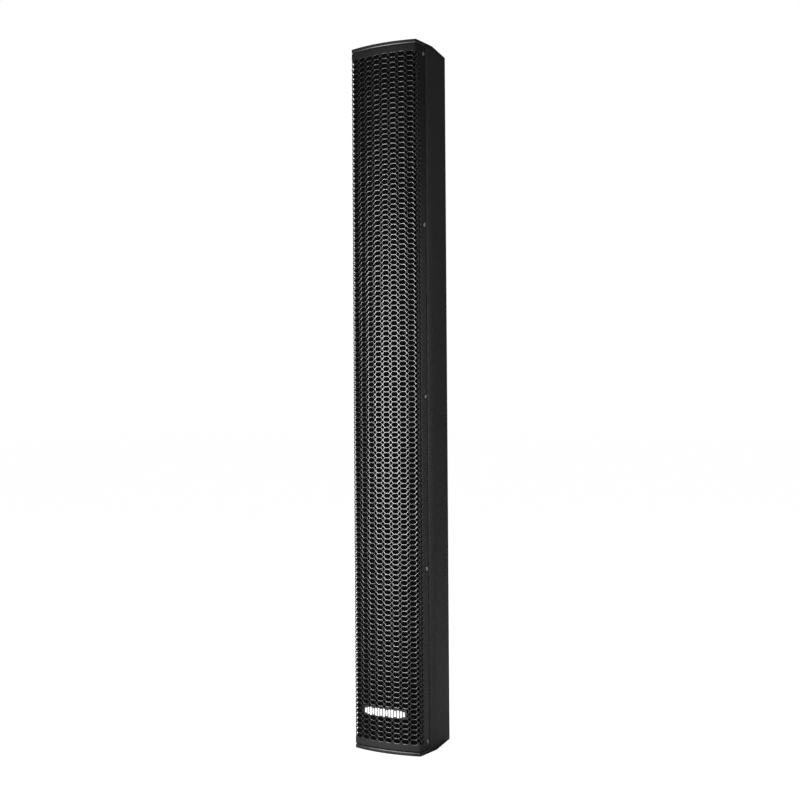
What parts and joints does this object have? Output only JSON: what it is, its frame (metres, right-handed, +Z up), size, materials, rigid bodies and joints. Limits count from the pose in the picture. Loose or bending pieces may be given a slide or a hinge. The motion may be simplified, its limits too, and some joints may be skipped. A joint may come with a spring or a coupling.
{
  "type": "column loudspeaker",
  "caption": "Slim upright column loudspeaker for speech and music: bowed perforated steel grille, tapered painted cabinet, hidden small drivers and rear locking connectors.",
  "frame": {"origin": "middle of the bounding box on the underside that it stands on", "axes": "+Z up along the column, -Y out of the grille towards the listener, +Y out of the connector plate, +X to the right seen from the front"},
  "size_m": [0.107, 0.123, 0.99],
  "materials": {
    "cabinet_paint": "fine textured black paint over plywood, matt",
    "baffle_board": "raw dark fibreboard",
    "grille_steel": "satin black powder coat on perforated steel",
    "grille_foam": "open-cell black foam",
    "badge_white": "satin white",
    "screw_steel": "black-plated steel",
    "basket_steel": "black coated pressed steel",
    "driver_magnet": "dark ferrite between zinc plates",
    "cone_paper": "black paper with a rubber surround",
    "plate_steel": "satin black powder coat",
    "socket_plastic": "glass-filled black plastic",
    "insert_brass": "turned brass",
    "circuit_board": "green solder mask",
    "copper_winding": "enamelled copper wire",
    "capacitor_film": "dipped film capacitor",
    "resistor_ceramic": "cement-filled ceramic",
    "wadding": "loose polyester wadding"
  },
  "bodies": {
    "cabinet": {"side_panel_left": "cabinet_paint", "side_panel_right": "cabinet_paint", "rear_panel": "cabinet_paint", "bottom_panel": "cabinet_paint", "top_panel": "cabinet_paint", "front_baffle": "baffle_board", "grille": "grille_steel", "grille_foam": "grille_foam", "badge": "badge_white", "grille_screw_left_1": "screw_steel", "grille_screw_left_2": "screw_steel", "grille_screw_left_3": "screw_steel", "grille_screw_left_4": "screw_steel", "grille_screw_left_5": "screw_steel", "grille_screw_right_1": "screw_steel", "grille_screw_right_2": "screw_steel", "grille_screw_right_3": "screw_steel", "grille_screw_right_4": "screw_steel", "grille_screw_right_5": "screw_steel", "driver_basket_1": "basket_steel", "driver_motor_1": "driver_magnet", "driver_basket_2": "basket_steel", "driver_motor_2": "driver_magnet", "driver_basket_3": "basket_steel", "driver_motor_3": "driver_magnet", "driver_basket_4": "basket_steel", "driver_motor_4": "driver_magnet", "driver_basket_5": "basket_steel", "driver_motor_5": "driver_magnet", "driver_basket_6": "basket_steel", "driver_motor_6": "driver_magnet", "driver_basket_7": "basket_steel", "driver_motor_7": "driver_magnet", "driver_basket_8": "basket_steel", "driver_motor_8": "driver_magnet", "terminal_plate": "plate_steel", "input_socket_lower": "socket_plastic", "input_socket_upper": "socket_plastic", "plate_screw_1": "screw_steel", "plate_screw_2": "screw_steel", "plate_screw_3": "screw_steel", "plate_screw_4": "screw_steel", "bracket_insert_1": "insert_brass", "bracket_insert_2": "insert_brass", "bracket_insert_3": "insert_brass", "bracket_insert_4": "insert_brass", "crossover_board": "circuit_board", "crossover_inductor": "copper_winding", "crossover_capacitor": "capacitor_film", "crossover_resistor": "resistor_ceramic", "damping_pad": "wadding"},
    "cone_1": {"driver_cone_1": "cone_paper"},
    "cone_2": {"driver_cone_2": "cone_paper"},
    "cone_3": {"driver_cone_3": "cone_paper"},
    "cone_4": {"driver_cone_4": "cone_paper"},
    "cone_5": {"driver_cone_5": "cone_paper"},
    "cone_6": {"driver_cone_6": "cone_paper"},
    "cone_7": {"driver_cone_7": "cone_paper"},
    "cone_8": {"driver_cone_8": "cone_paper"}
  },
  "joints": [
    {"name": "cone_1_travel", "type": "slide", "parent": "cabinet", "child": "cone_1", "axis": [0, -1, 0], "range_m": [-0.0025, 0.0025], "stiffness_N_per_m": 300},
    {"name": "cone_2_travel", "type": "slide", "parent": "cabinet", "child": "cone_2", "axis": [0, -1, 0], "range_m": [-0.0025, 0.0025], "stiffness_N_per_m": 300},
    {"name": "cone_3_travel", "type": "slide", "parent": "cabinet", "child": "cone_3", "axis": [0, -1, 0], "range_m": [-0.0025, 0.0025], "stiffness_N_per_m": 300},
    {"name": "cone_4_travel", "type": "slide", "parent": "cabinet", "child": "cone_4", "axis": [0, -1, 0], "range_m": [-0.0025, 0.0025], "stiffness_N_per_m": 300},
    {"name": "cone_5_travel", "type": "slide", "parent": "cabinet", "child": "cone_5", "axis": [0, -1, 0], "range_m": [-0.0025, 0.0025], "stiffness_N_per_m": 300},
    {"name": "cone_6_travel", "type": "slide", "parent": "cabinet", "child": "cone_6", "axis": [0, -1, 0], "range_m": [-0.0025, 0.0025], "stiffness_N_per_m": 300},
    {"name": "cone_7_travel", "type": "slide", "parent": "cabinet", "child": "cone_7", "axis": [0, -1, 0], "range_m": [-0.0025, 0.0025], "stiffness_N_per_m": 300},
    {"name": "cone_8_travel", "type": "slide", "parent": "cabinet", "child": "cone_8", "axis": [0, -1, 0], "range_m": [-0.0025, 0.0025], "stiffness_N_per_m": 300}
  ]
}
